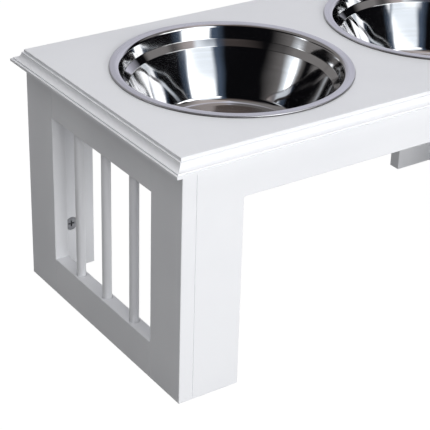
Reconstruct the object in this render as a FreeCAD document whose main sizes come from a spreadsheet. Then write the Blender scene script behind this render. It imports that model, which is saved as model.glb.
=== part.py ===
import FreeCAD, Part
import os
import re
import Sketcher

# Raised feeding stand for a dog: a moulded top board with two steel bowls that lift out, carried by
# two spindled end frames and two arched panels, which cam fittings and wooden dowels hold together.
# Frame: X runs along the stand, Y from front to back, Z up, origin on the floor under the middle.

# Each row: alias, millimetres (or degrees for an angle), what it sets.
SIZES = (
    ("stand_length", 584, "top board, lip to lip, left to right"),
    ("stand_depth", 305, "top board, lip to lip, front to back"),
    ("stand_height", 254, "floor to the face of the top board"),
    ("end_overhang", 12, "lip beyond the end frames"),
    ("front_overhang", 10, "lip beyond the front and back panels"),
    ("board_thickness", 15, "stiles, rails and panels"),
    ("edge_ease", 0.8, "rounding of the painted boards' edges"),
    ("overrun", 5, "how far a cut passes its board"),
    ("top_thickness", 14, "top board"),
    ("lip_height", 2.9, "edge moulding: upright of the lowest lip"),
    ("lip_ledge", 2.0, "edge moulding: flat on the lip"),
    ("step_height", 1.4, "edge moulding: small step under the cove"),
    ("cove_radius", 6.5, "edge moulding: hollow quarter round"),
    ("top_ledge", 1.8, "edge moulding: flat over the cove"),
    ("moulding_ease", 0.5, "edge moulding: rounding of its corners"),
    ("stile_width", 51, "upright of an end frame"),
    ("top_rail_height", 41, "upper rail of an end frame"),
    ("bottom_rail_height", 40, "lower rail of an end frame"),
    ("spindle_diameter", 9.5, "round bar in an end frame"),
    ("spindle_spacing", 51, "between spindle centres"),
    ("spindle_seat", 9, "depth that a spindle sits in a rail"),
    ("spindle_clearance", 0.4, "ring of air round a seated spindle"),
    ("spindle_chamfer", 0.6, "broken edge at a spindle's ends"),
    ("leg_width", 51, "leg of an arched panel"),
    ("apron_height", 41, "cross piece of an arched panel"),
    ("peg_diameter", 8, "wooden peg in a frame corner"),
    ("peg_length", 40, "half in the rail and half in the stile"),
    ("peg_spacing", 18, "between the two pegs of a corner"),
    ("dowel_diameter", 8, "loose wooden dowel that locates a joint"),
    ("dowel_length", 28, "loose wooden dowel, end to end"),
    ("dowel_seat", 9, "dowel's depth in the thinner board"),
    ("dowel_chamfer", 0.8, "broken edge at the ends of pegs and dowels"),
    ("top_dowel_spacing", 80, "between the dowels on one end frame"),
    ("fit_clearance", 0.1, "air round a dowel, a bolt or a cam in its hole"),
    ("hole_relief", 0.5, "spare depth behind a dowel"),
    ("cam_diameter", 15, "cam fitting, the round lock"),
    ("cam_height", 12, "cam fitting, along its axis"),
    ("cam_sink", 0.3, "cam face under the board's face"),
    ("cam_edge_distance", 24, "cam centre to the board's edge"),
    ("cam_end_distance", 54, "cam centre to the top or bottom of a leg"),
    ("cross_length", 7, "screwdriver cross in a cam, tip to tip"),
    ("cross_width", 1.6, "screwdriver cross, width of an arm"),
    ("cross_depth", 2.4, "screwdriver cross, depth"),
    ("bolt_thread_diameter", 6, "cam bolt, screwed end"),
    ("bolt_thread_length", 9, "cam bolt, screwed end"),
    ("bolt_shank_diameter", 7, "cam bolt, plain shank"),
    ("bolt_neck_diameter", 4.4, "cam bolt, neck behind the head"),
    ("bolt_neck_length", 6.5, "cam bolt, neck behind the head"),
    ("bolt_head_diameter", 6.6, "cam bolt, head that the cam pulls"),
    ("bolt_head_length", 3, "cam bolt, head"),
    ("head_play", 0.4, "air between a bolt's head and its cam"),
    ("bowl_spacing", 262, "between bowl centres"),
    ("bowl_clearance", 1.4, "between the head of a bowl's neck and its hole"),
    ("rim_radius", 119, "bowl rim, outside"),
    ("rim_rise", 2.2, "bowl rim above the top board"),
    ("rim_bend", 5.0, "round where the rim turns into the neck"),
    ("neck_radius", 109.4, "bowl neck, inside, where its line meets the rim's face"),
    ("neck_lean", 17.5, "degrees that the bowl's neck leans out"),
    ("neck_depth", 14, "rim's face down to the shoulder"),
    ("shoulder_width", 5.6, "how far the shoulder steps in"),
    ("shoulder_drop", 6.4, "how far the shoulder slopes down"),
    ("bowl_depth", 72, "rim's face down to the floor of the bowl"),
    ("wall_lean", 25, "degrees that the bowl's wall leans out"),
    ("corner_radius", 10, "round between wall and floor of the bowl"),
    ("disc_radius", 52, "raised disc in the floor of the bowl"),
    ("disc_rise", 1.4, "raised disc, height"),
    ("disc_slope", 2.0, "raised disc, run of its edge"),
    ("sheet", 0.8, "steel sheet of the bowls"),
)

# Lengths that follow from the sizes above.
FRAME_HEIGHT = "(stand_height - top_thickness)"
FRAME_DEPTH = "(stand_depth - 2*front_overhang)"
END_FACE = "(stand_length/2 - end_overhang)"
RAIL_LENGTH = "(stand_depth - 2*front_overhang - 2*stile_width)"
PANEL_LENGTH = "(stand_length - 2*end_overhang - 2*board_thickness)"
OPENING_HEIGHT = "(stand_height - top_thickness - top_rail_height - bottom_rail_height)"
UPPER_CAM = "(stand_height - top_thickness - cam_end_distance)"
MOULDING_WIDTH = "(lip_ledge + cove_radius + top_ledge)"
HOLE_RADIUS = "(neck_radius + sheet + bowl_clearance)"

SIDES = (("left", -1), ("right", 1))
FACES = (("front", -1), ("back", 1))
ENDS = (("front", -1), ("rear", 1))

doc = FreeCAD.newDocument("bowl_stand")
sheet = doc.addObject("Spreadsheet::Sheet", "sizes")
for row, (alias, number, note) in enumerate(SIZES, start=1):
    sheet.set("A%d" % row, note)
    sheet.set("B%d" % row, str(number))
    sheet.setAlias("B%d" % row, alias)
doc.recompute()

ALIAS = re.compile(r"\b(%s)\b" % "|".join(alias for alias, number, note in SIZES))
nodes = []


def tied(text):
    """The same sum with each size read from the sheet."""
    return ALIAS.sub(r"sizes.\1", text)


def measure(text):
    """What a sum of sizes comes to now."""
    return float(sheet.evalExpression(tied(text)))


def tie(target, slot, text):
    target.setExpression(slot, tied(text))


def times(sign, text):
    """A sum of sizes on one side of the middle."""
    return text if sign > 0 else "-(%s)" % text


def new_body(label):
    body = doc.addObject("PartDesign::Body", label)
    body.Label = label
    return body


def new_sketch(body, plane, offset):
    """An empty sketch on one of the body's own planes, moved along the plane's normal."""
    sketch = body.newObject("Sketcher::SketchObject", body.Label + "_sketch")
    for feature in body.Origin.OriginFeatures:
        if feature.Role == plane:
            sketch.AttachmentSupport = [(feature, "")]
    sketch.MapMode = "FlatFace"
    tie(sketch, "AttachmentOffset.Base.z", offset)
    return sketch


def place_point(sketch, piece, end, x, y):
    """Holds one point of a sketch at its sums of sizes."""
    for kind, axis, text in (("DistanceX", -2, x), ("DistanceY", -1, y)):
        if text == "0":
            sketch.addConstraint(Sketcher.Constraint("PointOnObject", piece, end, axis))
        else:
            number = sketch.addConstraint(Sketcher.Constraint(kind, -1, 1, piece, end, measure(text)))
            tie(sketch, "Constraints[%d]" % number, text)


def arc_between(start, finish, radius, turn):
    """The short arc from start to finish, to the left (turn 1) or to the right (turn -1)."""
    chord = finish - start
    square = FreeCAD.Vector(-chord.y, chord.x, 0).normalize()
    reach = max(radius ** 2 - (chord.Length / 2) ** 2, 0) ** 0.5
    centre = (start + finish) * 0.5 + square * (reach * turn)
    middle = centre + ((start + finish) * 0.5 - centre).normalize() * radius
    if reach == 0:
        middle = centre - square * (radius * turn)
    return Part.Arc(start, middle, finish)


def outline(body, plane, offset, corners):
    """A closed outline; a corner that also has a radius and a turn is reached by an arc."""
    sketch = new_sketch(body, plane, offset)
    points = [FreeCAD.Vector(measure(corner[0]), measure(corner[1]), 0) for corner in corners]
    ends = []
    for index, corner in enumerate(corners):
        start, finish = points[index - 1], points[index]
        if len(corner) == 2:
            sketch.addGeometry(Part.LineSegment(start, finish))
            ends.append((1, 2))
        else:
            radius, turn = corner[2:]
            sketch.addGeometry(arc_between(start, finish, measure(radius), turn))
            ends.append((1, 2) if turn > 0 else (2, 1))
            number = sketch.addConstraint(Sketcher.Constraint("Radius", index, measure(radius)))
            tie(sketch, "Constraints[%d]" % number, radius)
    for index, corner in enumerate(corners):
        following = (index + 1) % len(corners)
        sketch.addConstraint(
            Sketcher.Constraint("Coincident", index, ends[index][1], following, ends[following][0]))
        place_point(sketch, index, ends[index][1], corner[0], corner[1])
    return sketch


def rounds(body, plane, offset, centres, radius):
    """Circles of one radius."""
    sketch = new_sketch(body, plane, offset)
    for index, (x, y) in enumerate(centres):
        centre = FreeCAD.Vector(measure(x), measure(y), 0)
        sketch.addGeometry(Part.Circle(centre, FreeCAD.Vector(0, 0, 1), measure(radius)))
        place_point(sketch, index, 3, x, y)
        number = sketch.addConstraint(Sketcher.Constraint("Radius", index, measure(radius)))
        tie(sketch, "Constraints[%d]" % number, radius)
    return sketch


def block(width, depth):
    """Corners of a rectangle about the middle."""
    x, y = "(%s)/2" % width, "(%s)/2" % depth
    return ((x, times(-1, y)), (x, y), (times(-1, x), y), (times(-1, x), times(-1, y)))


def pad(body, sketch, length):
    feature = body.newObject("PartDesign::Pad", body.Label + "_pad")
    feature.Profile = sketch
    tie(feature, "Length", length)
    doc.recompute()
    return feature


def pocket(body, sketch, depth, along_normal):
    """Cuts a sketch into the body, and makes sure that it took material away."""
    before = body.Shape.Volume
    feature = body.newObject("PartDesign::Pocket", body.Label + "_pocket")
    feature.Profile = sketch
    feature.Reversed = along_normal
    tie(feature, "Length", depth)
    doc.recompute()
    if not body.Shape.Volume < before:
        raise ValueError("%s: a pocket cuts nothing" % body.Label)
    return feature


def revolve(body, sketch):
    feature = body.newObject("PartDesign::Revolution", body.Label + "_turned")
    feature.Profile = sketch
    feature.ReferenceAxis = (sketch, ["V_Axis"])
    doc.recompute()
    return feature


def soften(body, kind, slot, size):
    """Rounds or bevels every edge that the body has so far."""
    base = body.Tip
    feature = body.newObject("PartDesign::" + kind, body.Label + "_edges")
    feature.Base = (base, [""])
    feature.UseAllEdges = True
    tie(feature, slot, size)
    doc.recompute()
    return feature


def ease(body):
    return soften(body, "Fillet", "Radius", "edge_ease")


def put(target, x, y, z):
    """Places a body or a link by sums of sizes."""
    for axis, text in (("x", x), ("y", y), ("z", z)):
        tie(target, "Placement.Base." + axis, text)


def group(label, pieces):
    """One node of separate equal solids: copies of a pattern piece at their own places."""
    copies = []
    for pattern, rotation, x, y, z in pieces:
        copy = doc.addObject("App::Link", label + "_copy")
        copy.LinkedObject = pattern
        copy.Placement = FreeCAD.Placement(FreeCAD.Vector(), rotation)
        put(copy, x, y, z)
        copies.append(copy)
    compound = doc.addObject("Part::Compound", label)
    compound.Label = label
    compound.Links = copies
    nodes.append(compound)


def turned(x_direction, z_direction):
    """Turns a pattern piece so that its own x and z point along these directions."""
    x_axis, z_axis = FreeCAD.Vector(*x_direction), FreeCAD.Vector(*z_direction)
    return FreeCAD.Rotation(x_axis, z_axis.cross(x_axis), z_axis, "ZXY")


# Edge moulding of the top board

def moulding(edge):
    """Section of the moulded edge from the underside up, with edge the distance out to the lip."""
    ledge = "%s - lip_ledge" % edge
    cove_foot = "lip_height + step_height"
    cove_head = "lip_height + step_height + cove_radius"
    top_edge = "%s - %s" % (edge, MOULDING_WIDTH)
    return (
        ("%s - moulding_ease" % edge, "0"),
        (edge, "moulding_ease", "moulding_ease", 1),
        (edge, "lip_height - moulding_ease"),
        ("%s - moulding_ease" % edge, "lip_height", "moulding_ease", 1),
        (ledge, "lip_height"),
        (ledge, cove_foot),
        ("%s - cove_radius" % ledge, cove_head, "cove_radius", -1),
        (top_edge, cove_head),
        (top_edge, "top_thickness - moulding_ease"),
        ("%s - moulding_ease" % top_edge, "top_thickness", "moulding_ease", 1),
    )


def mirrored(corners):
    """The same section on the other side, so that the outline closes."""
    flipped = []
    arc = ()
    for corner in reversed(corners):
        flipped.append((times(-1, corner[0]), corner[1]) + arc)
        arc = corner[2:]
    return tuple(flipped)


def make_top_board():
    body = new_body("top_board")
    section = moulding("stand_length/2")
    pad(body, outline(body, "XZ_Plane", "-stand_depth/2", section + mirrored(section)), "stand_depth")
    edge = moulding("stand_depth/2")
    outside = "stand_depth/2 + overrun"
    waste = edge[2:] + ((edge[-1][0], "top_thickness + overrun"), (outside, "top_thickness + overrun"),
                        (outside, edge[2][1]))
    for sign in (-1, 1):
        corners = waste if sign > 0 else mirrored(waste)
        cut = outline(body, "YZ_Plane", "stand_length/2 + overrun", corners)
        pocket(body, cut, "stand_length + 2*overrun", False)
    holes = rounds(body, "XY_Plane", "top_thickness", (("-bowl_spacing/2", "0"), ("bowl_spacing/2", "0")),
                   HOLE_RADIUS)
    pocket(body, holes, "top_thickness + overrun", False)
    pairs = [(sign, face_sign) for sign in (-1, 1) for face_sign in (-1, 1)]
    bolts = [(times(sign, "bowl_spacing/2"), times(face_sign, PANEL_PLACE)) for sign, face_sign in pairs]
    pocket(body, rounds(body, "XY_Plane", "0", bolts, "bolt_thread_diameter/2 + fit_clearance"),
           "bolt_thread_length", True)
    dowels = [(times(sign, "(%s - board_thickness/2)" % END_FACE),
               times(face_sign, "top_dowel_spacing/2")) for sign, face_sign in pairs]
    pocket(body, rounds(body, "XY_Plane", "0", dowels, DOWEL_HOLE), "dowel_seat", True)
    put(body, "0", "0", FRAME_HEIGHT)
    nodes.append(body)


# End frames: two stiles, two rails and three spindles each

def panel_holes(sign):
    """Across a stile: the middle of the panel that meets it, on the stile's outer edge."""
    return times(sign, "(stile_width - board_thickness)/2")


def corner_pegs(middle):
    """Heights of a corner's two pegs about the middle of its rail."""
    return tuple("%s + %s" % (middle, times(sign, "peg_spacing/2")) for sign in (-1, 1))


TOP_RAIL_MIDDLE = "%s - top_rail_height/2" % FRAME_HEIGHT
PEG_HEIGHTS = corner_pegs("bottom_rail_height/2") + corner_pegs(TOP_RAIL_MIDDLE)
PEG_HOLE = "peg_diameter/2 + fit_clearance"
DOWEL_HOLE = "dowel_diameter/2 + fit_clearance"
DEEP_SEAT = "dowel_length - dowel_seat + hole_relief"


def make_stile(side, side_sign, end, end_sign):
    body = new_body("%s_%s_stile" % (side, end))
    pad(body, outline(body, "XY_Plane", "0", block("board_thickness", "stile_width")), FRAME_HEIGHT)
    ease(body)
    pegs = rounds(body, "XZ_Plane", times(end_sign, "stile_width/2"),
                  [("0", height) for height in PEG_HEIGHTS], PEG_HOLE)
    pocket(body, pegs, "peg_length/2", end_sign < 0)
    across = panel_holes(end_sign)
    inner_face = times(-side_sign, "board_thickness/2")
    bolts = rounds(body, "YZ_Plane", inner_face, ((across, "cam_end_distance"), (across, UPPER_CAM)),
                   "bolt_thread_diameter/2 + fit_clearance")
    pocket(body, bolts, "bolt_thread_length", side_sign > 0)
    dowel = rounds(body, "YZ_Plane", inner_face, ((across, FRAME_HEIGHT + "/2"),), DOWEL_HOLE)
    pocket(body, dowel, "dowel_seat", side_sign > 0)
    put(body, times(side_sign, "(%s - board_thickness/2)" % END_FACE),
        times(end_sign, "(%s/2 - stile_width/2)" % FRAME_DEPTH), "0")
    nodes.append(body)


SPINDLE_PLACES = ("-spindle_spacing", "0", "spindle_spacing")


def make_rail(side, side_sign, level, height, base):
    body = new_body("%s_%s_rail" % (side, level))
    pad(body, outline(body, "XY_Plane", "0", block("board_thickness", RAIL_LENGTH)), height)
    ease(body)
    pegs = [("0", place) for place in corner_pegs(height + "/2")]
    for sign in (-1, 1):
        ends = rounds(body, "XZ_Plane", times(sign, RAIL_LENGTH + "/2"), pegs, PEG_HOLE)
        pocket(body, ends, "peg_length/2", sign < 0)
    seat = "0" if level == "top" else height
    spindles = rounds(body, "XY_Plane", seat, [("0", place) for place in SPINDLE_PLACES],
                      "spindle_diameter/2 + spindle_clearance")
    pocket(body, spindles, "spindle_seat", level == "top")
    if level == "top":
        dowels = rounds(body, "XY_Plane", height,
                        (("0", "-top_dowel_spacing/2"), ("0", "top_dowel_spacing/2")), DOWEL_HOLE)
        pocket(body, dowels, DEEP_SEAT, False)
    put(body, times(side_sign, "(%s - board_thickness/2)" % END_FACE), "0", base)
    nodes.append(body)


def round_bar(label, diameter, length, chamfer):
    """A round bar standing on its own origin, with its two ends bevelled."""
    body = new_body(label)
    pad(body, rounds(body, "XY_Plane", "0", (("0", "0"),), diameter + "/2"), length)
    soften(body, "Chamfer", "Size", chamfer)
    return body


def make_spindles(side, side_sign):
    for name, place in zip(("front", "middle", "rear"), SPINDLE_PLACES):
        body = round_bar("%s_%s_spindle" % (side, name), "spindle_diameter",
                         OPENING_HEIGHT + " + 2*spindle_seat", "spindle_chamfer")
        put(body, times(side_sign, "(%s - board_thickness/2)" % END_FACE), place,
            "bottom_rail_height - spindle_seat")
        nodes.append(body)


# Arched panels between the end frames

CAM_PLACE = "(%s/2 - cam_edge_distance)" % PANEL_LENGTH
LEG_CAM_HEIGHTS = ("cam_end_distance", UPPER_CAM)
TOP_CAM_HEIGHT = "(%s - cam_edge_distance)" % FRAME_HEIGHT
PANEL_PLACE = "(%s/2 - board_thickness/2)" % FRAME_DEPTH


def make_panel(face, sign):
    body = new_body("%s_panel" % face)
    outer, inner = PANEL_LENGTH + "/2", "%s/2 - leg_width" % PANEL_LENGTH
    arch = "%s - apron_height" % FRAME_HEIGHT
    half = ((inner, "0"), (outer, "0"), (outer, FRAME_HEIGHT))
    whole = half + mirrored(half) + ((times(-1, inner), arch), (inner, arch))
    pad(body, outline(body, "XZ_Plane", "-board_thickness/2", whole), "board_thickness")
    ease(body)
    bolt_hole = "bolt_shank_diameter/2 + fit_clearance"
    for end_sign in (-1, 1):
        edge = times(end_sign, outer)
        bolts = rounds(body, "YZ_Plane", edge, [("0", height) for height in LEG_CAM_HEIGHTS], bolt_hole)
        pocket(body, bolts, "cam_edge_distance", end_sign < 0)
        dowel = rounds(body, "YZ_Plane", edge, (("0", FRAME_HEIGHT + "/2"),), DOWEL_HOLE)
        pocket(body, dowel, DEEP_SEAT, end_sign < 0)
    top_bolts = rounds(body, "XY_Plane", FRAME_HEIGHT,
                       (("-bowl_spacing/2", "0"), ("bowl_spacing/2", "0")), bolt_hole)
    pocket(body, top_bolts, "cam_edge_distance", False)
    cams = [(times(end_sign, CAM_PLACE), height) for end_sign in (-1, 1) for height in LEG_CAM_HEIGHTS]
    cams += [(times(end_sign, "bowl_spacing/2"), TOP_CAM_HEIGHT) for end_sign in (-1, 1)]
    seats = rounds(body, "XZ_Plane", times(sign, "board_thickness/2"), cams,
                   "cam_diameter/2 + fit_clearance")
    pocket(body, seats, "cam_height + cam_sink", sign < 0)
    put(body, "0", times(sign, PANEL_PLACE), "0")
    nodes.append(body)


# Fittings: pegs, dowels, cam locks and cam bolts, each made once and copied

def make_cam_lock():
    """Round lock: its face is at its origin, the slot for the bolt opens along its own x."""
    body = new_body("cam_lock")
    pad(body, rounds(body, "XY_Plane", "-cam_height", (("0", "0"),), "cam_diameter/2"), "cam_height")
    tip, arm = "cross_length/2", "cross_width/2"
    quarter = ((tip, times(-1, arm)), (tip, arm), (arm, arm))
    cross = quarter + tuple((times(-1, y), x) for x, y in quarter)
    cross += tuple((times(-1, x), times(-1, y)) for x, y in cross)
    pocket(body, outline(body, "XY_Plane", "0", cross), "cross_depth", False)
    slot = "(bolt_head_diameter/2 + head_play)"
    bolt_axis = "(cam_sink - board_thickness/2)"
    low, high = "%s - %s" % (bolt_axis, slot), "%s + %s" % (bolt_axis, slot)
    corners = ((slot, low), (slot, high), (times(-1, slot), high), (times(-1, slot), low))
    cut = outline(body, "YZ_Plane", "cam_diameter/2 + overrun", corners)
    pocket(body, cut, "cam_diameter/2 + overrun + bolt_head_length/2 + head_play", False)
    return body


def make_cam_bolt():
    """Bolt turned from a bar: its screwed end lies below its origin, its head above."""
    body = new_body("cam_bolt")
    thread, shank, neck, head = (
        "%s/2" % size for size in
        ("bolt_thread_diameter", "bolt_shank_diameter", "bolt_neck_diameter", "bolt_head_diameter"))
    head_top = "cam_edge_distance + bolt_head_length/2"
    head_foot = "cam_edge_distance - bolt_head_length/2"
    shank_top = "%s - bolt_neck_length" % head_foot
    corners = (
        ("0", "-bolt_thread_length"), (thread, "-bolt_thread_length"), (thread, "0"), (shank, "0"),
        (shank, shank_top), (neck, shank_top), (neck, head_foot), (head, head_foot), (head, head_top),
        ("0", head_top))
    revolve(body, outline(body, "XZ_Plane", "0", corners))
    return body


def make_fittings():
    cam, bolt = make_cam_lock(), make_cam_bolt()
    peg = round_bar("corner_peg", "peg_diameter", "peg_length", "dowel_chamfer")
    dowel = round_bar("locating_dowel", "dowel_diameter", "dowel_length", "dowel_chamfer")
    stile_face = "(%s - board_thickness)" % END_FACE
    along_y = turned((1, 0, 0), (0, 1, 0))
    downwards = turned((1, 0, 0), (0, 0, -1))
    upright = turned((1, 0, 0), (0, 0, 1))
    for face, sign in FACES:
        panel_middle = times(sign, PANEL_PLACE)
        cam_face = times(sign, "(%s/2 - board_thickness + cam_sink)" % FRAME_DEPTH)
        inward = (0, -sign, 0)
        cams, bolts, dowels = [], [], []
        for side, side_sign in SIDES:
            to_middle = turned((0, 1, 0), (-side_sign, 0, 0))
            joint_face = times(side_sign, stile_face)
            for height in LEG_CAM_HEIGHTS:
                cams.append((cam, turned((side_sign, 0, 0), inward), times(side_sign, CAM_PLACE),
                             cam_face, height))
                bolts.append((bolt, to_middle, joint_face, panel_middle, height))
            cams.append((cam, turned((0, 0, 1), inward), times(side_sign, "bowl_spacing/2"), cam_face,
                         TOP_CAM_HEIGHT))
            dowels.append((dowel, to_middle, times(side_sign, "(%s + dowel_seat)" % stile_face),
                           panel_middle, FRAME_HEIGHT + "/2"))
        group("%s_cam_locks" % face, cams)
        group("%s_cam_bolts" % face, bolts)
        group("%s_dowels" % face, dowels)
    group("top_cam_bolts", [
        (bolt, downwards, times(side_sign, "bowl_spacing/2"), times(sign, PANEL_PLACE), FRAME_HEIGHT)
        for face, sign in FACES for side, side_sign in SIDES])
    group("top_dowels", [
        (dowel, upright, times(side_sign, "(%s - board_thickness/2)" % END_FACE),
         times(sign, "top_dowel_spacing/2"), "%s + dowel_seat - dowel_length" % FRAME_HEIGHT)
        for face, sign in FACES for side, side_sign in SIDES])
    for side, side_sign in SIDES:
        group("%s_corner_pegs" % side, [
            (peg, along_y, times(side_sign, "(%s - board_thickness/2)" % END_FACE),
             "%s - peg_length/2" % times(end_sign, RAIL_LENGTH + "/2"), height)
            for end, end_sign in ENDS for height in PEG_HEIGHTS])


# Steel bowls

def make_bowl(side, sign):
    """Pressed bowl: curled rim, leaning neck, shoulder, leaning wall and a floor with a raised disc."""
    body = new_body("%s_bowl" % side)
    floor = "(rim_rise - bowl_depth)"
    neck_foot = "(rim_rise - neck_depth)"
    neck_foot_radius = "(neck_radius - neck_depth*tan(neck_lean))"
    foot_radius = "(%s - shoulder_width)" % neck_foot_radius
    foot = "(rim_rise - neck_depth - shoulder_drop)"
    arc_top = "(%s + corner_radius*(1 - sin(wall_lean)))" % floor
    floor_radius = "(%s - corner_radius*cos(wall_lean) - (%s - %s)*tan(wall_lean))" % (
        foot_radius, foot, arc_top)
    slope = "hypot(shoulder_width; shoulder_drop)"
    across, down = "(shoulder_drop/%s)" % slope, "(shoulder_width/%s)" % slope
    mitre = "(1 + %s*cos(wall_lean) + %s*sin(wall_lean))" % (across, down)
    neck_mitre = "(1 + %s*cos(neck_lean) + %s*sin(neck_lean))" % (across, down)
    bend_reach = "(rim_bend*tan((90 - neck_lean)/2))"
    bend_foot_radius = "(neck_radius - %s*sin(neck_lean))" % bend_reach
    bend_foot = "(rim_rise - %s*cos(neck_lean))" % bend_reach
    inside = (
        ("0", "%s + disc_rise" % floor),
        ("disc_radius", "%s + disc_rise" % floor),
        ("disc_radius + disc_slope", floor),
        (floor_radius, floor),
        ("%s + corner_radius*cos(wall_lean)" % floor_radius, arc_top, "corner_radius", 1),
        (foot_radius, foot),
        (neck_foot_radius, neck_foot),
        (bend_foot_radius, bend_foot),
        ("neck_radius + %s" % bend_reach, "rim_rise", "rim_bend", -1),
        ("rim_radius - rim_rise", "rim_rise"),
        ("rim_radius", "0", "rim_rise", -1),
    )
    outside = (
        ("rim_radius - sheet", "0"),
        ("rim_radius - rim_rise", "rim_rise - sheet", "rim_rise - sheet", 1),
        ("neck_radius + %s" % bend_reach, "rim_rise - sheet"),
        ("%s + sheet*cos(neck_lean)" % bend_foot_radius, "%s - sheet*sin(neck_lean)" % bend_foot,
         "rim_bend - sheet", 1),
        ("%s + sheet*(%s + cos(neck_lean))/%s" % (neck_foot_radius, across, neck_mitre),
         "%s - sheet*(%s + sin(neck_lean))/%s" % (neck_foot, down, neck_mitre)),
        ("%s + sheet*(%s + cos(wall_lean))/%s" % (foot_radius, across, mitre),
         "%s - sheet*(%s + sin(wall_lean))/%s" % (foot, down, mitre)),
        ("%s + (corner_radius + sheet)*cos(wall_lean)" % floor_radius,
         "%s - sheet*sin(wall_lean)" % arc_top),
        (floor_radius, "%s - sheet" % floor, "corner_radius + sheet", -1),
        ("disc_radius + disc_slope", "%s - sheet" % floor),
        ("disc_radius", "%s + disc_rise - sheet" % floor),
        ("0", "%s + disc_rise - sheet" % floor),
    )
    revolve(body, outline(body, "XZ_Plane", "0", inside + outside))
    put(body, times(sign, "bowl_spacing/2"), "0", "stand_height")
    nodes.append(body)


make_top_board()
for side, side_sign in SIDES:
    for end, end_sign in ENDS:
        make_stile(side, side_sign, end, end_sign)
    make_rail(side, side_sign, "top", "top_rail_height", "%s - top_rail_height" % FRAME_HEIGHT)
    make_rail(side, side_sign, "bottom", "bottom_rail_height", "0")
    make_spindles(side, side_sign)
for face, face_sign in FACES:
    make_panel(face, face_sign)
make_fittings()
for side, side_sign in SIDES:
    make_bowl(side, side_sign)
doc.recompute()

for item in doc.Objects:
    if "Invalid" in item.State or "Error" in item.State:
        raise RuntimeError("%s failed: %s" % (item.Label, item.State))
for node in nodes:
    if node.Shape.isNull() or not node.Shape.isValid():
        raise RuntimeError("%s has no valid shape" % node.Label)

os.makedirs("parts", exist_ok=True)
for node in nodes:
    node.Shape.exportStep("parts/%s.step" % node.Label)
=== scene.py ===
import math

import bpy
from bpy.props import FloatProperty, FloatVectorProperty, IntProperty, PointerProperty
from mathutils import Matrix, Vector


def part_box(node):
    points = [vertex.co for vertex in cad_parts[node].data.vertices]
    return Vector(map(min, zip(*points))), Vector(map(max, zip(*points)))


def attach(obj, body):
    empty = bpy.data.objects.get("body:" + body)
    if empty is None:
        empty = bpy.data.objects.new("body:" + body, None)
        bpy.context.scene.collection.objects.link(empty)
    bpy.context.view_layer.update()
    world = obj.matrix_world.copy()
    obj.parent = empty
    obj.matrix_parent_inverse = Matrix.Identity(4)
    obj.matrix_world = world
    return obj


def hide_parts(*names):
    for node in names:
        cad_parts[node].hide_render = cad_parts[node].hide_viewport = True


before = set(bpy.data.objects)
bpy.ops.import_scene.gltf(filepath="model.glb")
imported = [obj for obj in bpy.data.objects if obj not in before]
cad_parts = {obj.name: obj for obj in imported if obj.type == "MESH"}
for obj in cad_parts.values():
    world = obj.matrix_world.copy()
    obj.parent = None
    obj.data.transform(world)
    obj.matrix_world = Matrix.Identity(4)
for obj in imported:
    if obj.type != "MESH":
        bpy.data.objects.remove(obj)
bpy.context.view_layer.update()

bl_info = {
    "name": "Raised bowl stand",
    "version": (1, 0, 0),
    "blender": (4, 5, 0),
    "location": "View3D > Sidebar > Bowl stand",
    "description": "Paints a raised stand, presses its two steel bowls and lights it on a pale floor",
    "category": "Object",
}

SIDES = ("left", "right")
PAINTED = [
    "top_board", "front_panel", "back_panel",
    *["%s_%s_stile" % (side, end) for side in SIDES for end in ("front", "rear")],
    *["%s_%s_rail" % (side, level) for side in SIDES for level in ("top", "bottom")],
    *["%s_%s_spindle" % (side, place) for side in SIDES for place in ("front", "middle", "rear")],
]
ZINC_NODES = ["front_cam_locks", "back_cam_locks", "front_cam_bolts", "back_cam_bolts", "top_cam_bolts"]
BEECH_NODES = ["front_dowels", "back_dowels", "top_dowels", "left_corner_pegs", "right_corner_pegs"]

BOARD_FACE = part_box("top_board")[1].z
BOWL_LOW, BOWL_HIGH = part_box("right_bowl")
BOWL_PLACE = (BOWL_LOW.x + BOWL_HIGH.x) / 2
RIM_RADIUS = (BOWL_HIGH.x - BOWL_LOW.x) / 2
RIM_RISE = BOWL_HIGH.z - BOARD_FACE
MERGE_REACH = 0.000002
SMOOTH_ANGLE = math.radians(50)
PAINT_IOR = 1.48
LAMPS = ("key", "top", "fill", "back", "side")
LIT_POINT = Vector((0, 0, 0.15))
# Panels of the tent in degrees: azimuth from and to (0 at the front, 90 at the right) with the width of its
# soft edges, then elevation likewise. A later panel covers an earlier one, and 400 reaches all the way round.
TENT_PANELS = (
    ("tent_ceiling", -400, 400, 22, 65, 400, 22),
    ("tent_side", -400, -108, 40, 47, 400, 10),
    ("tent_side", -400, -117, 12, 22.5, 400, 5),
    ("tent_side", -400, -90, 28, -20, 26, 5),
    ("tent_dark", -160, -123.5, 10, 10, 21, 3),
    ("tent_back", 104, 400, 14, -40, 400, 14),
    ("tent_side", 165, 400, 30, -40, 400, 30),
    ("tent_side", 24, 110, 12, 48, 400, 12),
    ("tent_roof", 18, 130, 14, 64, 400, 14),
    ("tent_side", 54, 80, 8, 28, 48, 8),
    ("tent_edge", -25, 29, 10, -10, 63, 10),
    ("tent_roof", 12, 44, 12, 50, 70, 12),
    ("tent_glow", -13, 21, 6, -10, 60, 6),
    ("tent_window", -12, 20, 3, -10, 24, 3),
    ("tent_window", -18, 38, 5, 32, 44, 5),
    ("tent_window", 24, 50, 3, 24.5, 34, 3),
    ("tent_glow", -118, -103, 8, 9, 23, 5),
    ("tent_window", -116.5, -108.5, 3, 10, 18.5, 3),
)


def length(label, note, default):
    return FloatProperty(name=label, description=note, default=default, min=0, precision=5, unit="LENGTH")


def angle(label, note, degrees):
    return FloatProperty(name=label, description=note, default=math.radians(degrees), subtype="ANGLE")


def wattage(label, note, watts):
    return FloatProperty(name=label, description=note, default=watts, min=0, unit="POWER")


def extent(label, note, default):
    return FloatVectorProperty(name=label, description=note, default=default, min=0, size=2, unit="LENGTH")


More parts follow.
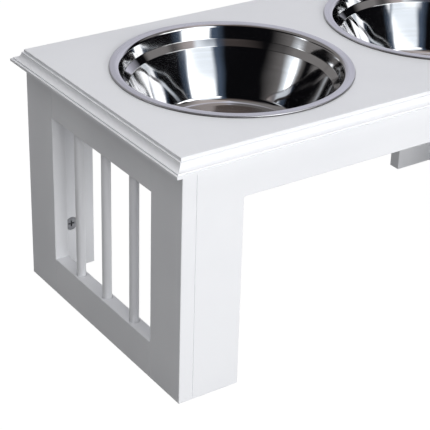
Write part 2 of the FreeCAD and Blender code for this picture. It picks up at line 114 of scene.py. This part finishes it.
def position(label, note, default):
    return FloatVectorProperty(name=label, description=note, default=default, precision=5,
                               subtype="TRANSLATION")


def colour(label, note, default):
    return FloatVectorProperty(name=label, description=note, default=default, min=0, max=1, size=4,
                               subtype="COLOR")


class BowlSizes(bpy.types.PropertyGroup):
    """Section of a pressed steel bowl, measured from the face of the top board."""

    rim_radius: length("Rim radius", "Outside of the rim", RIM_RADIUS)
    rim_rise: length("Rim rise", "Rim's face above the top board", RIM_RISE)
    rim_bead: length("Rim bead", "Radius of the edge that is rolled under", 0.0011)
    rim_bend: length("Rim bend", "Round where the rim turns into the neck", 0.005)
    neck_radius: length("Neck radius", "Inside of the neck, where its line meets the rim's face", 0.1094)
    neck_depth: length("Neck depth", "Rim's face down to the shoulder", 0.014)
    shoulder_width: length("Shoulder width", "How far the shoulder steps in", 0.0056)
    shoulder_drop: length("Shoulder drop", "How far the shoulder slopes down", 0.0064)
    shoulder_bend: length("Shoulder bend", "Round at the two edges of the shoulder", 0.0018)
    depth: length("Depth", "Rim's face down to the floor of the bowl", 0.072)
    corner_radius: length("Corner radius", "Round between wall and floor", 0.01)
    disc_radius: length("Disc radius", "Raised disc in the floor", 0.052)
    disc_rise: length("Disc rise", "Height of the raised disc", 0.0014)
    disc_slope: length("Disc slope", "Run of the raised disc's edge", 0.002)
    sheet: length("Sheet", "Thickness of the steel", 0.0008)
    support: length("Support", "Ring of points kept beside each round", 0.0003)
    neck_lean: angle("Neck lean", "How far the neck leans out", 17.5)
    wall_lean: angle("Wall lean", "How far the wall leans out", 25)
    satin_turn: angle("Satin turn", "How far round the rim's bend its satin finish reaches", 30)
    segments: IntProperty(name="Segments", description="Points round the bowl", default=224, min=48)
    bend_steps: IntProperty(name="Bend steps", description="Faces across a small round", default=6, min=2)
    corner_steps: IntProperty(name="Corner steps", description="Faces across the large round", default=18,
                              min=4)


class Finishes(bpy.types.PropertyGroup):
    """Colours of the stand's finishes."""

    paint: colour("Paint", "White paint of the boards", (0.835, 0.845, 0.87, 1))
    paint_patch: colour("Paint patch", "Paint where the film is a little thinner", (0.81, 0.82, 0.848, 1))
    steel: colour("Steel", "Polished inside of the bowls", (0.66, 0.66, 0.67, 1))
    steel_line: colour("Steel line", "Polishing lines inside the bowls", (0.62, 0.618, 0.62, 1))
    rim: colour("Rim", "Satin rim of the bowls", (0.68, 0.68, 0.695, 1))
    rim_line: colour("Rim line", "Brushed lines on the rim", (0.54, 0.54, 0.555, 1))
    # The hem colour is painted shade: a near-black colour on the underside of the rolled rim stands in for
    # the shadow in the gap under it.
    hem: colour("Hem", "Dark seam where the rolled rim meets the board", (0.09, 0.08, 0.078, 1))
    zinc: colour("Zinc", "Cam fittings", (0.24, 0.245, 0.26, 1))
    zinc_patch: colour("Zinc patch", "Duller patches on the fittings", (0.16, 0.165, 0.18, 1))
    beech: colour("Beech", "Dowels and pegs", (0.66, 0.46, 0.28, 1))
    beech_grain: colour("Beech grain", "Darker flecks in the beech", (0.5, 0.32, 0.18, 1))


class Studio(bpy.types.PropertyGroup):
    """Light, floor and camera."""

    key_power: wattage("Key power", "Wide soft light at the front", 44.5)
    key_size: extent("Key size", "Width and height of the front light", (2.4, 1.0))
    key_place: position("Key place", "Where the front light stands", (0.1, -2.0, 0.66))
    top_power: wattage("Top power", "Broad soft light overhead", 21.8)
    top_size: extent("Top size", "Sides of the overhead light", (2.0, 2.0))
    top_place: position("Top place", "Where the overhead light hangs", (-0.18, 0.0, 2.2))
    fill_power: wattage("Fill power", "Weak soft light at the left", 1)
    fill_size: extent("Fill size", "Sides of the left light", (0.5, 0.5))
    fill_place: position("Fill place", "Where the left light stands", (-0.8, -0.1, 0.85))
    back_power: wattage("Back power", "Low soft light behind the stand", 20)
    back_size: extent("Back size", "Width and height of the light behind", (1.6, 0.7))
    back_place: position("Back place", "Where the light behind stands", (0.6, 2.1, 0.42))
    side_power: wattage("Side power", "Low soft light at the right", 8)
    side_size: extent("Side size", "Width and height of the right light", (0.9, 0.7))
    side_place: position("Side place", "Where the right light stands", (2.1, 0.3, 0.42))
    tent_radius: length("Tent radius", "Radius of the tent that the steel reflects", 4)
    tent_dark: colour("Tent dark", "Dark cloth of the tent", (0.0014, 0.0014, 0.0017, 1))
    tent_window: colour("Tent window", "Lit openings in the tent", (0.97, 0.985, 1, 1))
    tent_edge: colour("Tent edge", "Bluish cloth beside the openings", (0.027, 0.038, 0.057, 1))
    tent_ceiling: colour("Tent ceiling", "Warm grey roof of the tent", (0.069, 0.057, 0.053, 1))
    tent_back: colour("Tent back", "Grey cloth behind the stand", (0.25, 0.25, 0.285, 1))
    tent_side: colour("Tent side", "Darker grey cloth at the sides", (0.085, 0.081, 0.08, 1))
    tent_glow: colour("Tent glow", "Dimmer cloth round the openings", (0.4, 0.43, 0.46, 1))
    tent_roof: colour("Tent roof", "Lighter roof at the right", (0.2, 0.18, 0.175, 1))
    tent_strength: FloatProperty(name="Tent strength", description="Brightness of the whole tent", default=3,
                                 min=0)
    ambient: FloatProperty(name="Ambient", description="Light from all round", default=0.07, min=0)
    ambient_tint: colour("Ambient tint", "Colour of the light from all round", (0.95, 0.94, 1, 1))
    floor: colour("Floor", "Pale floor", (0.16, 0.16, 0.16, 1))
    shadow_share: FloatProperty(name="Shadow share", description="How much of the shadow the floor keeps",
                                default=0.2, min=0, max=1, subtype="FACTOR")
    paper_glow: FloatProperty(name="Paper glow", description="Brings the lit paper to white", default=1.24)
    floor_side: length("Floor side", "Length of the floor's side", 12)
    lens: FloatProperty(name="Lens", description="Focal length in millimetres", default=124.05, min=1)
    azimuth: angle("Azimuth", "Camera's angle round the stand", -34.875)
    elevation: angle("Elevation", "Camera's angle above the floor", 28.262)
    roll: angle("Roll", "Camera's tilt about its own axis", -1.673)
    origin_in_view: position("Origin in view", "The stand's origin, right of, below and ahead of the camera",
                             (0.11841, 0.0486, 1.61647))


# Node helpers

def add_node(tree, kind, **settings):
    node = tree.nodes.new(kind)
    for name, value in settings.items():
        setattr(node, name, value)
    return node


def feed(tree, socket, source):
    """Links a node's output to a socket, or sets the socket to a plain value."""
    if isinstance(source, bpy.types.NodeSocket):
        tree.links.new(source, socket)
    else:
        socket.default_value = source


def maths(tree, operation, *sources):
    node = add_node(tree, "ShaderNodeMath", operation=operation)
    for socket, source in zip(node.inputs, sources):
        feed(tree, socket, source)
    return node.outputs[0]


def noise(tree, vector, scale, detail, roughness=0.5):
    node = add_node(tree, "ShaderNodeTexNoise")
    feed(tree, node.inputs["Vector"], vector)
    feed(tree, node.inputs["Scale"], scale)
    node.inputs["Detail"].default_value = detail
    node.inputs["Roughness"].default_value = roughness
    return node.outputs["Fac"]


def spread(tree, value, low, high, from_low=0.35, from_high=0.65):
    """Brings a noise value, which stays near its middle, to a range."""
    node = add_node(tree, "ShaderNodeMapRange")
    for name, source in (("Value", value), ("From Min", from_low), ("From Max", from_high),
                         ("To Min", low), ("To Max", high)):
        feed(tree, node.inputs[name], source)
    return node.outputs["Result"]


def mix_colour(tree, share, first, second):
    node = add_node(tree, "ShaderNodeMix", data_type="RGBA")
    feed(tree, node.inputs["Factor"], share)
    feed(tree, node.inputs[6], first)
    feed(tree, node.inputs[7], second)
    return node.outputs[2]


def new_group(name, inputs, outputs):
    """A shader node group with number sockets; returns it with its inputs' and outputs' nodes."""
    tree = bpy.data.node_groups.new(name, "ShaderNodeTree")
    for label, default in inputs:
        socket = tree.interface.new_socket(label, in_out="INPUT", socket_type="NodeSocketFloat")
        socket.default_value = default
    for label in outputs:
        tree.interface.new_socket(label, in_out="OUTPUT", socket_type="NodeSocketFloat")
    return tree, add_node(tree, "NodeGroupInput"), add_node(tree, "NodeGroupOutput")


def surface_film():
    """Broad patches and fine grain of a coated surface."""
    tree, given, made = new_group("surface_film", (("Patch Scale", 12), ("Grain Scale", 600)),
                                  ("Patches", "Grain"))
    place = add_node(tree, "ShaderNodeTexCoord").outputs["Object"]
    feed(tree, made.inputs["Patches"], noise(tree, place, given.outputs["Patch Scale"], 3))
    feed(tree, made.inputs["Grain"], noise(tree, place, given.outputs["Grain Scale"], 2))
    return tree


def turned_rings():
    """Rings that follow a turned bowl's section, and the slow waves left in its sheet."""
    tree, given, made = new_group("turned_rings", (("Lines", 900), ("Breaks", 9), ("Waves", 16)),
                                  ("Rings", "Waves"))
    place = add_node(tree, "ShaderNodeTexCoord").outputs["Object"]
    axes = add_node(tree, "ShaderNodeSeparateXYZ")
    feed(tree, axes.inputs[0], place)
    across = maths(tree, "SUBTRACT", maths(tree, "ABSOLUTE", axes.outputs["X"]), BOWL_PLACE)
    along = axes.outputs["Y"]
    radius = maths(tree, "SQRT", maths(tree, "ADD", maths(tree, "MULTIPLY", across, across),
                                       maths(tree, "MULTIPLY", along, along)))
    run = maths(tree, "SUBTRACT", radius, axes.outputs["Z"])
    spot = add_node(tree, "ShaderNodeCombineXYZ")
    feed(tree, spot.inputs["X"], maths(tree, "MULTIPLY", run, given.outputs["Lines"]))
    feed(tree, spot.inputs["Y"], maths(tree, "MULTIPLY", across, given.outputs["Breaks"]))
    feed(tree, spot.inputs["Z"], maths(tree, "MULTIPLY", along, given.outputs["Breaks"]))
    feed(tree, made.inputs["Rings"], noise(tree, spot.outputs[0], 1, 4, 0.65))
    feed(tree, made.inputs["Waves"], noise(tree, place, given.outputs["Waves"], 1))
    return tree


class Finish:
    """One material: a Principled shader with colour, roughness and relief from shared effects."""

    def __init__(self, name, effect, **values):
        self.material = bpy.data.materials.new(name)
        self.material.use_nodes = True
        self.tree = self.material.node_tree
        self.shader = self.tree.nodes["Principled BSDF"]
        self.effect = add_node(self.tree, "ShaderNodeGroup", node_tree=effect)
        for label, value in values.items():
            self.effect.inputs[label.replace("_", " ").title()].default_value = value

    def set(self, label, value):
        self.shader.inputs[label].default_value = value

    def colours(self, share, first, second, low=0, high=1):
        mixed = mix_colour(self.tree, spread(self.tree, share, low, high), tuple(first), tuple(second))
        feed(self.tree, self.shader.inputs["Base Color"], mixed)

    def roughness(self, share, low, high):
        feed(self.tree, self.shader.inputs["Roughness"], spread(self.tree, share, low, high))

    def relief(self, *layers):
        """Stacks bumps: each layer has its height, its depth in metres and its strength."""
        normal = None
        for height, depth, strength in layers:
            bump = add_node(self.tree, "ShaderNodeBump")
            bump.inputs["Distance"].default_value = depth
            bump.inputs["Strength"].default_value = strength
            feed(self.tree, bump.inputs["Height"], height)
            if normal is not None:
                feed(self.tree, bump.inputs["Normal"], normal)
            normal = bump.outputs["Normal"]
        feed(self.tree, self.shader.inputs["Normal"], normal)


def shared(name, maker):
    return bpy.data.node_groups.get(name) or maker()


def white_paint(finishes):
    film = Finish("white_paint", shared("surface_film", surface_film), patch_scale=11, grain_scale=520)
    patches, grain = film.effect.outputs["Patches"], film.effect.outputs["Grain"]
    film.colours(patches, finishes.paint, finishes.paint_patch)
    film.roughness(patches, 0.36, 0.46)
    film.relief((grain, 0.00006, 0.5))
    film.set("IOR", PAINT_IOR)
    return film.material


def zinc_plate(finishes):
    film = Finish("zinc_plate", shared("surface_film", surface_film), patch_scale=160, grain_scale=2600)
    patches, grain = film.effect.outputs["Patches"], film.effect.outputs["Grain"]
    film.colours(patches, finishes.zinc, finishes.zinc_patch)
    film.roughness(grain, 0.34, 0.5)
    film.relief((grain, 0.00004, 0.6))
    film.set("Metallic", 1)
    return film.material


def beech_wood(finishes):
    film = Finish("beech_wood", shared("surface_film", surface_film), patch_scale=90, grain_scale=1400)
    patches, grain = film.effect.outputs["Patches"], film.effect.outputs["Grain"]
    film.colours(patches, finishes.beech, finishes.beech_grain)
    film.roughness(grain, 0.55, 0.72)
    film.relief((grain, 0.0001, 0.7))
    return film.material


def polished_steel(finishes):
    turned = Finish("polished_steel", shared("turned_rings", turned_rings), lines=900, breaks=7, waves=15)
    rings, waves = turned.effect.outputs["Rings"], turned.effect.outputs["Waves"]
    turned.colours(rings, finishes.steel, finishes.steel_line)
    turned.roughness(waves, 0.03, 0.1)
    turned.relief((waves, 0.004, 0.6), (rings, 0.000008, 0.2))
    turned.set("Metallic", 1)
    return turned.material


def satin_rim(finishes):
    turned = Finish("satin_rim", shared("turned_rings", turned_rings), lines=3400, breaks=12, waves=20)
    rings = turned.effect.outputs["Rings"]
    turned.colours(rings, finishes.rim, finishes.rim_line)
    turned.roughness(rings, 0.26, 0.42)
    turned.relief((rings, 0.00004, 0.6))
    turned.set("Metallic", 1)
    return turned.material


# Painted shade: the underside of the rolled rim gets a near-black colour with faint brushed lines, standing
# in for the shadow in the gap under the rim.
def rolled_hem(finishes):
    turned = Finish("rolled_hem", shared("turned_rings", turned_rings), lines=3400, breaks=12, waves=20)
    rings = turned.effect.outputs["Rings"]
    turned.colours(rings, finishes.hem, finishes.rim_line, 0, 0.2)
    turned.roughness(rings, 0.5, 0.7)
    turned.set("Metallic", 1)
    return turned.material


def wear(node, material):
    """Gives a solid of the frame its finish."""
    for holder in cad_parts[node].material_slots:
        holder.material = material


# Bowl section

def bowl_corners(sizes):
    """Inside of the bowl from the rim to the middle: radius, height and the round at each corner."""
    rim, floor = sizes.rim_rise, sizes.rim_rise - sizes.depth
    neck_foot = sizes.neck_radius - sizes.neck_depth * math.tan(sizes.neck_lean)
    foot_radius = neck_foot - sizes.shoulder_width
    foot = rim - sizes.neck_depth - sizes.shoulder_drop
    wall_foot = foot_radius - (foot - floor) * math.tan(sizes.wall_lean)
    return [
        (sizes.rim_radius - sizes.rim_bead, rim, 0, 0),
        (sizes.neck_radius, rim, sizes.rim_bend, sizes.bend_steps),
        (neck_foot, rim - sizes.neck_depth, sizes.shoulder_bend, sizes.bend_steps),
        (foot_radius, foot, sizes.shoulder_bend, sizes.bend_steps),
        (wall_foot, floor, sizes.corner_radius, sizes.corner_steps),
        (sizes.disc_radius + sizes.disc_slope, floor, sizes.disc_slope, sizes.bend_steps),
        (sizes.disc_radius, floor + sizes.disc_rise, sizes.disc_slope, sizes.bend_steps),
        (0, floor + sizes.disc_rise, 0, 0),
    ]


def satin_edge(sizes):
    """Radius on the rim's bend where the satin finish gives way to the polished inside."""
    flat_edge = sizes.neck_radius + sizes.rim_bend * math.tan(math.pi / 4 - sizes.neck_lean / 2)
    return flat_edge - sizes.rim_bend * math.sin(sizes.satin_turn)


def rolled_edge(sizes, steps=14, shaded_under=math.radians(-150), top=math.radians(90)):
    """The rim's edge, rolled from under the rim round to its face."""
    middle = Vector((sizes.rim_radius - sizes.rim_bead, sizes.rim_rise - sizes.rim_bead))
    turns = [shaded_under + (top - shaded_under) * step / steps for step in range(steps)]
    return [middle + sizes.rim_bead * Vector((math.cos(turn), math.sin(turn))) for turn in turns]


def rounded(corners, support):
    """Points along straight runs and the rounds between them, with a support point beside each round."""
    points = [Vector(corners[0][:2])]
    for before, corner, after in zip(corners, corners[1:], corners[2:]):
        place = Vector(corner[:2])
        back = (Vector(before[:2]) - place).normalized()
        ahead = (Vector(after[:2]) - place).normalized()
        half = back.angle(ahead) / 2
        reach = corner[2] / math.tan(half)
        middle = place + (back + ahead).normalized() * (corner[2] / math.sin(half))
        start, finish = place + back * reach, place + ahead * reach
        points.append(start + back * support)
        for step in range(corner[3] + 1):
            share = step / corner[3]
            spoke = (start - middle).slerp(finish - middle, share)
            points.append(middle + corner[2] * spoke)
        points.append(finish + ahead * support)
    points.append(Vector(corners[-1][:2]))
    return points


def spun_shell(name, section, centre, segments):
    """Draws a section point by point and spins it round the bowl's axis."""
    bpy.ops.object.select_all(action="DESELECT")
    first = section[0]
    bpy.ops.mesh.primitive_plane_add(size=first.x, enter_editmode=True,
                                     location=(centre.x + first.x, centre.y, BOARD_FACE + first.y))
    bpy.ops.mesh.merge(type="CENTER")
    shell = bpy.context.object
    shell.name = shell.data.name = name
    for before, point in zip(section, section[1:]):
        step = (point.x - before.x, 0, point.y - before.y)
        bpy.ops.mesh.extrude_vertices_move(TRANSFORM_OT_translate={"value": step})
    bpy.ops.mesh.select_all(action="SELECT")
    bpy.ops.mesh.spin(steps=segments, angle=math.tau, center=(centre.x, centre.y, BOARD_FACE),
                      axis=(0, 0, 1))
    bpy.ops.mesh.select_all(action="SELECT")
    bpy.ops.mesh.remove_doubles(threshold=MERGE_REACH)
    bpy.ops.mesh.normals_make_consistent(inside=False)
    bpy.ops.object.mode_set(mode="OBJECT")
    bpy.ops.object.transform_apply(location=True, rotation=True, scale=True)
    return shell


def face_inside_up(shell, centre):
    """Turns the sheet so that the floor of the bowl faces up."""
    middle = min(shell.data.polygons, key=lambda face: (face.center.xy - centre).length)
    if middle.normal.z < 0:
        bpy.ops.object.mode_set(mode="EDIT")
        bpy.ops.mesh.select_all(action="SELECT")
        bpy.ops.mesh.flip_normals()
        bpy.ops.object.mode_set(mode="OBJECT")


def copied_shell(shell, name, step):
    """The same bowl again with a mesh of its own, moved along the stand."""
    bpy.ops.object.select_all(action="DESELECT")
    shell.select_set(True)
    bpy.context.view_layer.objects.active = shell
    bpy.ops.object.duplicate_move(TRANSFORM_OT_translate={"value": (step, 0, 0)})
    copy = bpy.context.object
    copy.name = copy.data.name = name
    bpy.ops.object.transform_apply(location=True, rotation=True, scale=True)
    return copy


def thicken(shell, sheet):
    wall = shell.modifiers.new("sheet", "SOLIDIFY")
    wall.thickness = sheet
    wall.offset = -1
    wall.use_even_offset = True
    bpy.ops.object.modifier_apply(modifier=wall.name)


class STAND_OT_paint_boards(bpy.types.Operator):
    """Paints the top board, the end frames, the spindles and the panels"""

    bl_idname = "stand.paint_boards"
    bl_label = "Paint boards"

    def execute(self, context):
        paint = white_paint(context.scene.stand_finishes)
        for node in PAINTED:
            wear(node, paint)
        return {"FINISHED"}


class STAND_OT_finish_fittings(bpy.types.Operator):
    """Gives the cam fittings their zinc and the dowels and pegs their beech"""

    bl_idname = "stand.finish_fittings"
    bl_label = "Finish fittings"

    def execute(self, context):
        finishes = context.scene.stand_finishes
        for nodes, material in ((ZINC_NODES, zinc_plate(finishes)), (BEECH_NODES, beech_wood(finishes))):
            for node in nodes:
                wear(node, material)
        return {"FINISHED"}


class STAND_OT_press_bowls(bpy.types.Operator):
    """Makes the two steel bowls, with rolled rims and polished insides"""

    bl_idname = "stand.press_bowls"
    bl_label = "Press bowls"

    def execute(self, context):
        sizes, finishes = context.scene.stand_bowl, context.scene.stand_finishes
        section = rolled_edge(sizes) + rounded(bowl_corners(sizes), sizes.support)
        centre = Vector((-BOWL_PLACE, 0))
        first = spun_shell("left_bowl_shell", section, centre, sizes.segments)
        face_inside_up(first, centre)
        thicken(first, sizes.sheet)
        for material in (polished_steel(finishes), satin_rim(finishes), rolled_hem(finishes)):
            first.data.materials.append(material)
        rim_edge, hem_edge = satin_edge(sizes), sizes.rim_radius - sizes.rim_bead
        hem_top = BOARD_FACE + sizes.rim_rise - sizes.rim_bead
        for face in first.data.polygons:
            radius = (face.center.xy - centre).length
            # Faces of the rolled bead below its middle get the painted shade of the gap under the rim.
            shaded_under = radius > hem_edge and face.center.z < hem_top
            face.material_index = 2 if shaded_under else int(radius > rim_edge)
        bpy.ops.object.shade_smooth_by_angle(angle=SMOOTH_ANGLE)
        second = copied_shell(first, "right_bowl_shell", 2 * BOWL_PLACE)
        for side, shell in zip(SIDES, (first, second)):
            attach(shell, "%s_bowl" % side)
            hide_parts("%s_bowl" % side)
        return {"FINISHED"}


# Stage

def seen_directly(tree):
    """1 for rays that come from the camera or from a reflection, 0 for light that falls on things."""
    path = add_node(tree, "ShaderNodeLightPath")
    seen = path.outputs["Is Camera Ray"]
    for label in ("Is Glossy Ray", "Is Transmission Ray"):
        seen = maths(tree, "MAXIMUM", seen, path.outputs[label])
    return seen


def floor_paper(studio):
    """Pale paper that looks white and keeps a faint shadow."""
    material = bpy.data.materials.new("floor_paper")
    material.use_nodes = True
    tree = material.node_tree
    tree.nodes.remove(tree.nodes["Principled BSDF"])
    paper = add_node(tree, "ShaderNodeBsdfDiffuse")
    feed(tree, paper.inputs["Color"], tuple(studio.floor))
    white = add_node(tree, "ShaderNodeEmission")
    white.inputs["Strength"].default_value = studio.paper_glow
    mix = add_node(tree, "ShaderNodeMixShader")
    feed(tree, mix.inputs[0], maths(tree, "MULTIPLY", seen_directly(tree), 1 - studio.shadow_share))
    feed(tree, mix.inputs[1], paper.outputs[0])
    feed(tree, mix.inputs[2], white.outputs[0])
    feed(tree, tree.nodes["Material Output"].inputs["Surface"], mix.outputs[0])
    return material


def white_world(studio):
    world = bpy.data.worlds.new("studio_air")
    bpy.context.scene.world = world
    world.use_nodes = True
    tree = world.node_tree
    tree.nodes.remove(tree.nodes["Background"])
    fill = add_node(tree, "ShaderNodeBackground")
    feed(tree, fill.inputs["Color"], tuple(studio.ambient_tint))
    fill.inputs["Strength"].default_value = studio.ambient
    white = add_node(tree, "ShaderNodeBackground")
    white.inputs["Color"].default_value = (1, 1, 1, 1)
    white.inputs["Strength"].default_value = 1
    mix = add_node(tree, "ShaderNodeMixShader")
    feed(tree, mix.inputs[0], seen_directly(tree))
    feed(tree, mix.inputs[1], fill.outputs[0])
    feed(tree, mix.inputs[2], white.outputs[0])
    feed(tree, tree.nodes["World Output"].inputs["Surface"], mix.outputs[0])


def soft_light(name, place, size, power):
    """A soft lamp; the steel sees the tent's openings in its stead."""
    data = bpy.data.lights.new(name, "AREA")
    data.shape = "RECTANGLE"
    data.size, data.size_y = size
    data.energy = power
    lamp = bpy.data.objects.new(name, data)
    bpy.context.scene.collection.objects.link(lamp)
    lamp.location = place
    lamp.rotation_euler = (LIT_POINT - Vector(place)).to_track_quat("-Z", "Y").to_euler()
    lamp.visible_glossy = lamp.visible_camera = False


def tent_panel():
    """Share of one soft-edged panel of the tent, all in degrees."""
    tree, given, made = new_group("tent_panel", [(label, 0) for label in (
        "Azimuth", "Elevation", "Left", "Right", "Side Softness", "Low", "High", "End Softness")],
        ("Share",))
    share = 1
    for place, near, far, soft in (("Azimuth", "Left", "Right", "Side Softness"),
                                   ("Elevation", "Low", "High", "End Softness")):
        for first, second in ((place, near), (far, place)):
            inside = maths(tree, "SUBTRACT", given.outputs[first], given.outputs[second])
            inside = maths(tree, "DIVIDE", inside, given.outputs[soft])
            share = maths(tree, "MULTIPLY", share, spread(tree, inside, 0, 1, -0.5, 0.5))
    feed(tree, made.inputs["Share"], share)
    return tree


def tent_cloth(studio):
    """Dark cloth with grey panels and lit openings."""
    material = bpy.data.materials.new("tent_cloth")
    material.use_nodes = True
    tree = material.node_tree
    tree.nodes.remove(tree.nodes["Principled BSDF"])
    axes = add_node(tree, "ShaderNodeSeparateXYZ")
    feed(tree, axes.inputs[0], add_node(tree, "ShaderNodeTexCoord").outputs["Object"])
    towards_front = maths(tree, "MULTIPLY", axes.outputs["Y"], -1)
    azimuth = maths(tree, "DEGREES", maths(tree, "ARCTAN2", axes.outputs["X"], towards_front))
    height = maths(tree, "DIVIDE", axes.outputs["Z"], studio.tent_radius)
    elevation = maths(tree, "DEGREES", maths(tree, "ARCSINE", height))
    cloth = tuple(studio.tent_dark)
    for name, *edges in TENT_PANELS:
        panel = add_node(tree, "ShaderNodeGroup", node_tree=shared("tent_panel", tent_panel))
        for socket, source in zip(panel.inputs, (azimuth, elevation, *edges)):
            feed(tree, socket, source)
        cloth = mix_colour(tree, panel.outputs["Share"], cloth, tuple(getattr(studio, name)))
    glow = add_node(tree, "ShaderNodeEmission")
    glow.inputs["Strength"].default_value = studio.tent_strength
    feed(tree, glow.inputs["Color"], cloth)
    feed(tree, tree.nodes["Material Output"].inputs["Surface"], glow.outputs[0])
    return material


def light_tent(studio):
    """A dark tent with lit openings round the stand, which only reflections see."""
    bpy.ops.object.select_all(action="DESELECT")
    bpy.ops.mesh.primitive_uv_sphere_add(radius=studio.tent_radius, location=(0, 0, BOARD_FACE))
    tent = bpy.context.object
    tent.name = "light_tent"
    tent.data.materials.append(tent_cloth(studio))
    tent.visible_camera = tent.visible_diffuse = False
    tent.visible_shadow = tent.visible_transmission = False


def place_camera(studio):
    """Sets the camera by its angles and by where the stand's origin lies in its view."""
    round_z, up = studio.azimuth, studio.elevation
    back = Vector((math.sin(round_z) * math.cos(up), -math.cos(round_z) * math.cos(up), math.sin(up)))
    ahead = -back
    right = ahead.cross(Vector((0, 0, 1))).normalized()
    down = ahead.cross(right)
    cosine, sine = math.cos(studio.roll), math.sin(studio.roll)
    right, down = right * cosine + down * sine, down * cosine - right * sine
    shift = studio.origin_in_view
    place = -(right * shift[0] + down * shift[1] + ahead * shift[2])
    data = bpy.data.cameras.new("camera")
    data.lens = studio.lens
    camera = bpy.data.objects.new("camera", data)
    bpy.context.scene.collection.objects.link(camera)
    turn = Matrix((right, -down, back)).transposed().to_4x4()
    camera.matrix_world = Matrix.Translation(place) @ turn
    bpy.context.scene.camera = camera


class STAND_OT_set_stage(bpy.types.Operator):
    """Adds the pale floor, the light and the camera"""

    bl_idname = "stand.set_stage"
    bl_label = "Set stage"

    def execute(self, context):
        studio = context.scene.stand_studio
        bpy.ops.object.select_all(action="DESELECT")
        bpy.ops.mesh.primitive_plane_add(size=studio.floor_side)
        floor = bpy.context.object
        floor.name = "floor"
        floor.data.materials.append(floor_paper(studio))
        white_world(studio)
        for name in LAMPS:
            values = [getattr(studio, "%s_%s" % (name, value)) for value in ("place", "size", "power")]
            soft_light(name, *values)
        light_tent(studio)
        place_camera(studio)
        context.scene.view_settings.view_transform = "Standard"
        return {"FINISHED"}


class STAND_PT_sidebar(bpy.types.Panel):
    """Sizes, finishes and stage of the stand"""

    bl_label = "Bowl stand"
    bl_idname = "STAND_PT_sidebar"
    bl_space_type = "VIEW_3D"
    bl_region_type = "UI"
    bl_category = "Bowl stand"

    def draw(self, context):
        layout = self.layout
        for operator in OPERATORS:
            layout.operator(operator.bl_idname)
        for group in (context.scene.stand_bowl, context.scene.stand_finishes, context.scene.stand_studio):
            box = layout.box()
            for name in group.__annotations__:
                box.prop(group, name)


OPERATORS = (STAND_OT_paint_boards, STAND_OT_finish_fittings, STAND_OT_press_bowls, STAND_OT_set_stage)
GROUPS = (("stand_bowl", BowlSizes), ("stand_finishes", Finishes), ("stand_studio", Studio))
CLASSES = tuple(group for name, group in GROUPS) + OPERATORS + (STAND_PT_sidebar,)


def register():
    for item in CLASSES:
        bpy.utils.register_class(item)
    for name, group in GROUPS:
        setattr(bpy.types.Scene, name, PointerProperty(type=group))


def unregister():
    for name, group in GROUPS:
        delattr(bpy.types.Scene, name)
    for item in reversed(CLASSES):
        bpy.utils.unregister_class(item)


def main():
    register()
    bpy.ops.stand.paint_boards()
    bpy.ops.stand.finish_fittings()
    bpy.ops.stand.press_bowls()
    bpy.ops.stand.set_stage()


if __name__ == "__main__":
    main()
